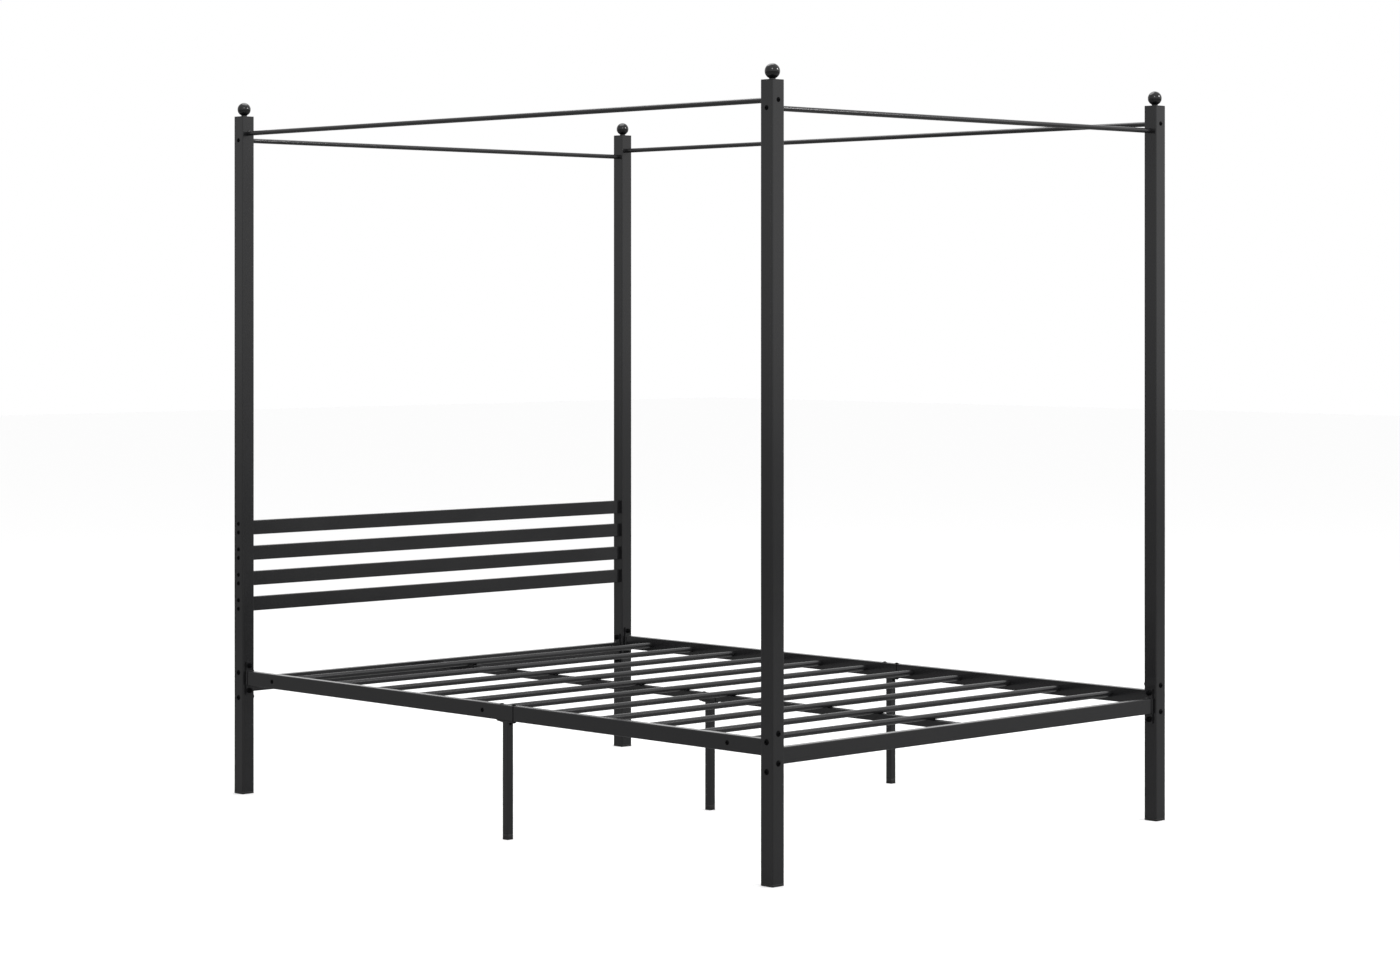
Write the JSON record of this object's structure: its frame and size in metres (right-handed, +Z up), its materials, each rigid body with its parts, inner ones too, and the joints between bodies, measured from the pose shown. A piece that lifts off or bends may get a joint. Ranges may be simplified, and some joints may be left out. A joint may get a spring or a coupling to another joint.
{
  "type": "four poster canopy bed",
  "caption": "Square-tube metal bed frame with tall ball-topped corner posts, a rod canopy rail, a slatted base and a horizontal bar headboard.",
  "frame": {"origin": "floor level under the middle of the bed, halfway between the posts both ways", "axes": "+Z up, +Y towards the head end, X across the bed's width, with +X on the right of someone who stands at the foot end and looks to the head"},
  "size_m": [1.508, 2.114, 1.9385],
  "materials": {
    "coat": "satin",
    "finials": "gloss",
    "caps": "matte",
    "fasteners": "satin"
  },
  "bodies": {
    "root": {"post_foot_left": "coat", "post_foot_right": "coat", "post_head_left": "coat", "post_head_right": "coat", "post_cap_foot_left": "caps", "post_cap_foot_right": "caps", "post_cap_head_left": "caps", "post_cap_head_right": "caps", "finial_foot_left": "finials", "finial_foot_right": "finials", "finial_head_left": "finials", "finial_head_right": "finials", "foot_cap_foot_left": "caps", "foot_cap_foot_right": "caps", "foot_cap_head_left": "caps", "foot_cap_head_right": "caps", "canopy_rod_left": "coat", "canopy_rod_right": "coat", "canopy_rod_head": "coat", "canopy_rod_foot": "coat", "headboard_bar_1": "coat", "headboard_bar_2": "coat", "headboard_bar_3": "coat", "headboard_bar_4": "coat", "side_rail_left_head": "coat", "side_rail_left_foot": "coat", "side_rail_right_head": "coat", "side_rail_right_foot": "coat", "head_rail": "coat", "foot_rail": "coat", "centre_rail_head": "coat", "centre_rail_foot": "coat", "slat_1": "coat", "slat_2": "coat", "slat_3": "coat", "slat_4": "coat", "slat_5": "coat", "slat_6": "coat", "slat_7": "coat", "slat_8": "coat", "slat_9": "coat", "slat_10": "coat", "slat_11": "coat", "leg_bracket_left": "coat", "leg_bracket_centre": "coat", "leg_bracket_right": "coat", "mid_leg_left": "coat", "mid_leg_centre": "coat", "mid_leg_right": "coat", "leg_cap_left": "caps", "leg_cap_centre": "caps", "leg_cap_right": "caps", "rail_bolts": "fasteners", "rail_nuts": "fasteners", "frame_bolts": "fasteners", "side_joint_bolts": "fasteners", "centre_joint_bolts": "fasteners", "joint_nuts": "fasteners", "short_screws": "fasteners", "leg_screws": "fasteners"}
  },
  "joints": []
}
